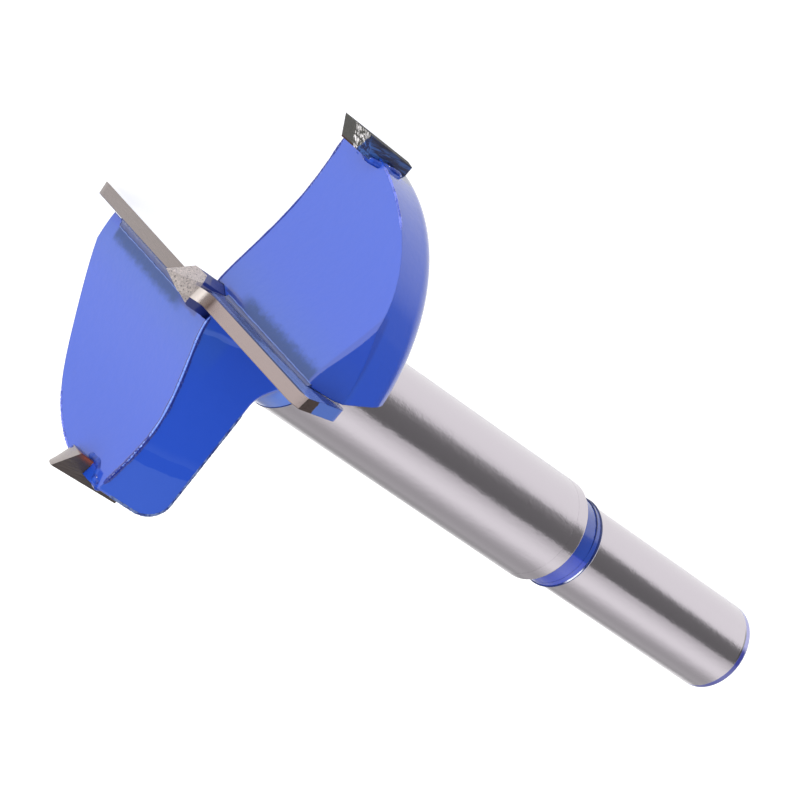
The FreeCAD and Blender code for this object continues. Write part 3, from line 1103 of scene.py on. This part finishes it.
along = np.linspace(0, 1, 200)
turn = np.radians(RIM_EDGE_ANGLES[0] + RIM_EDGE_ANGLES[1] * along)
out = RIM_EDGE_RADIUS * np.cos(turn)
edge = np.stack([RIM_EDGE_RADIUS * np.sin(turn), out, dish(out) - 0.06], -1)
size = (0.13 + 0.02 * wander(along, 25, 91)) * tapered(along, 0.1, 0.3)
for name, turned in (("rim_edge_right", False), ("rim_edge_left", True)):
    tube(name, carried(edge, size, 12), pale, turned)

# %% [markdown]
# The two spurs were ground by hand and differ. The left one is thicker towards the middle of the
# tool and slopes more, with a slightly blunted tip, so a piece of its own stands for it. Each ring
# is a section across its thickness: the sloping top, from the tip inwards, then the buried foot.
# The top falls from front to back as the share of the way to the power 1.6, which blunts the tip.

# %% Left spur
SPUR_OUTER = 22.46
SPUR_TIP_DEPTH = 0.5
SPUR_FOOT_SIDES = (-20.2, -22.3)

inwards = np.linspace(0, 1, 9)
backwards = np.linspace(0, 1, 9)[:, None]
spur_top = (-SPUR_TIP_DEPTH - 2.1 * inwards) + (-2.1 + 1.15 * inwards) * backwards ** 1.6
top_y = -SPUR_OUTER + (SPUR_OUTER - SPUR_INNER_LEFT) * inwards - 0.3 * inwards * backwards
foot_z = -9.9 + 1.67 * backwards
across_y = np.concatenate([top_y, *(np.full((9, 1), side) for side in SPUR_FOOT_SIDES)], 1)
level_z = np.concatenate([spur_top, foot_z, foot_z], 1)
out_x = np.broadcast_to(-SPUR_FRONT - (SPUR_BACK - SPUR_FRONT) * backwards, across_y.shape)
rings = np.stack([out_x, across_y, level_z], -1)
left_spur = tube("spur_ground_left", rings, spur, sharp=SHARP)
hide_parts("spur_left")

# %% [markdown]
# Where the lacquer of the collar and of the groove band stops, it left a low ridge round the
# steel, and two fine ridges from the lathe show through near the end of the band. Each is a round
# section carried round the axis. The first one of the band shows only on its upper side.

# %% Ridges round the neck and band
turn = np.linspace(0, 2 * np.pi, 240, endpoint=False)
around = np.linspace(0, 2 * np.pi, 10, endpoint=False)
for name, level_z, ring_radius, size, sway, finish in (
    ("collar_ridge", COLLAR_END, NECK_RADIUS, 0.09, 0.12, ridge),
    ("band_ridge_a", -59.2, 5.19, 0.09, 0.0, ridge),
    ("band_ridge_b", -60.04, 5.16, 0.17, 0.0, ridge),
    ("shank_edge", -60.34, SHANK_RADIUS, 0.09, 0.0, pale),
):
    rise = level_z + sway * wander(turn / (2 * np.pi), 6, 71)
    thick = size * (1 + 0.06 * wander(turn / (2 * np.pi), 5, 72))
    if name == "band_ridge_a":
        thick = thick * np.clip(np.sin(turn) * 2.0 - 0.4, 0.1, 1.0)
    reach = (ring_radius - 0.4 * size) + thick[:, None] * np.cos(around)
    rings = np.stack([
        reach * np.cos(turn)[:, None], reach * np.sin(turn)[:, None],
        rise[:, None] + thick[:, None] * np.sin(around),
    ], -1)
    rings = np.concatenate([rings, rings[:1]])
    tube(name, rings, finish)

# %% [markdown]
# The neck ends in a small turned lip with a rounded edge, just before the groove band. It is one
# closed section carried round the axis, from inside the band up to the full radius of the neck.

# %% Lip at the end of the neck
bend = np.linspace(0, np.pi / 2, 7)
full = NECK_RADIUS + 0.002
inside = SHANK_RADIUS
reach = np.concatenate([[inside, full, full], full - NECK_EDGE * (1 - np.cos(bend)), [inside]])
level_z = np.concatenate([
    [NECK_LIP, NECK_LIP, NECK_EDGE + 0.05], NECK_EDGE * (1 - np.sin(bend)), [0.0],
]) + NECK_END
rings = np.stack([
    np.cos(turn)[:, None] * reach, np.sin(turn)[:, None] * reach,
    np.broadcast_to(level_z, (len(turn), len(reach))),
], -1)
rings = np.concatenate([rings, rings[:1]])
tube("neck_end_lip", rings, body, sharp=40)

# %% [markdown]
# The floor is white paper. It takes the object's shadow as a plain matt surface, and a little of
# its own light, seen only by the camera and by reflections, lifts it to white.

# %% Floor
FLOOR_REACH = 3.0
FLOOR_BELOW = 0.0001

floor_mesh = bpy.data.meshes.new("floor")
side = np.linspace(-FLOOR_REACH, FLOOR_REACH, 9)
across, along = np.meshgrid(side, side, indexing="ij")
points = np.stack([across, along, np.full_like(across, -FLOOR_BELOW)], -1).reshape(-1, 3)
cell = np.arange(8)[:, None] * 9 + np.arange(8)[None, :]
faces = np.stack([cell, cell + 9, cell + 10, cell + 1], -1).reshape(-1, 4)
floor_mesh.from_pydata(points.tolist(), [], faces.tolist())
floor = bpy.data.objects.new("floor", floor_mesh)
bpy.context.scene.collection.objects.link(floor)
print("floor", len(floor_mesh.polygons), "faces")

# %% [markdown]
# What the polished steel mirrors of the paper is not all white: two soft dark patches, in front
# and behind, stand for the room beyond a small sheet.

# %% White paper
PAPER_SEEN = colour(190, 190, 190)
PAPER_MATT = colour(236, 236, 236)
PAPER_LIGHT = (0.8, 0.8, 0.8, 1)
BLACK = (0, 0, 0, 1)
WHITE = (1, 1, 1, 1)

sheet = Finish(bpy.data.materials.new("white_paper"))
in_camera, in_glossy, in_glass = sheet.rays("Camera", "Glossy", "Transmission")
place = sheet.node("TexCoord", {}, {}, "Object")
floor_x, floor_y = sheet.parts(place)[:2]
near_side = 0.72 * sheet.ease(-floor_y, 0.02, 0.12)
far_side = 0.6 * sheet.ease(floor_y, 0.012, 0.05) * sheet.fade(floor_x, -0.03, 0.0)
mirrored_paper = sheet.mix(near_side.most(far_side), WHITE, BLACK)
sheet.shade(
    Base_Color=sheet.mix(in_camera, PAPER_MATT, PAPER_SEEN),
    Roughness=1.0,
    Specular_IOR_Level=0.0,
    Emission_Color=sheet.mix(in_camera, BLACK, PAPER_LIGHT),
    Emission_Strength=1.0,
)
mirrored_floor = sheet.node("Emission", {}, {"Color": mirrored_paper})
paper = sheet.tree.nodes["Principled BSDF"].outputs[0]
shown = sheet.node("MixShader", {}, {
    0: in_glossy.most(in_glass), 1: Shade(paper), 2: mirrored_floor,
})
plug(sheet.tree.nodes["Material Output"].inputs["Surface"], shown)
floor_mesh.materials.append(sheet.owner)
sheet.report("on the floor")

# %% [markdown]
# A studio shows itself in polished metal. Matt surfaces get an even light that is a little
# stronger from in front of the head. Reflections find white walls, and a dark flag that hangs
# along the shank and draws the dark band on it. The greys go round the shank from one side of
# the floor, over the top, to the other side, as fractions of that half turn.

# %% World
BEHIND_HEAD = [
    (0.0, 0.24), (0.06, 0.2), (0.12, 0.18), (0.27, 0.16), (0.295, 0.17), (0.31, 0.6),
    (0.37, 0.74), (0.42, 0.88), (0.5, 1.0), (0.57, 1.0), (0.64, 0.76), (0.71, 0.54),
    (0.79, 0.44), (0.9, 0.48), (1.0, 0.55),
]
BEFORE_HEAD = [
    (0.0, 0.5), (0.1, 0.16), (0.2, 0.05), (0.42, 0.05), (0.48, 0.8), (0.56, 0.9), (0.68, 0.25),
    (0.9, 0.25), (1.0, 0.5),
]
MATT_BEHIND = (0.74, 0.74, 0.74, 1)
MATT_BEFORE = (1.98, 1.98, 1.98, 1)

world = Finish(bpy.data.worlds.new("studio"))
bpy.context.scene.world = world.owner
shank_line = TOOL_TURN @ Vector((0, 0, -1))
level = Matrix.Rotation(-math.atan2(shank_line.z, -shank_line.x), 3, "Y")
towards = world.node("TexCoord", {}, {}, "Generated")
turned = world.node("Mapping", {"vector_type": "POINT"}, {
    "Vector": towards, "Rotation": level.to_euler(),
})
ahead, aside, above = world.parts(turned)
around = above.angle(-aside) * (1 / math.pi)
behind_head = world.node("ValToRGB", {"stops": BEHIND_HEAD}, {"Fac": around})
before_head = world.node("ValToRGB", {"stops": BEFORE_HEAD}, {"Fac": around})
mirrored = world.mix(world.ease(ahead, -0.5, -0.15), behind_head, before_head)
matt = world.mix(world.ease(ahead, -0.2, 1.0), MATT_BEHIND, MATT_BEFORE)
in_glossy, in_camera = world.rays("Glossy", "Camera")
seen = world.mix(in_camera, world.mix(in_glossy, matt, mirrored), WHITE)
plug(world.tree.nodes["Background"].inputs["Color"], seen)
world.report("round the scene")

# %% [markdown]
# One small window in front of the head gives the runs of lacquer and the corners their sparkle,
# besides the white specks painted on the runs as highlights.
# It is weak as a light: its brightness only shows where something glossy mirrors it.

# %% Window
WINDOW_TOWARDS = Vector((0.87, -0.12, 0.47))

window = bpy.data.lights.new("window", "AREA")
window.shape = "DISK"
window.size = 0.25
window.energy = 1.2
window_lamp = bpy.data.objects.new("window", window)
window_lamp.location = WINDOW_TOWARDS
window_lamp.rotation_euler = (-WINDOW_TOWARDS).to_track_quat("-Z", "Y").to_euler()
bpy.context.scene.collection.objects.link(window_lamp)
print("window", round(WINDOW_TOWARDS.length, 2), "m away,", window.energy, "W")
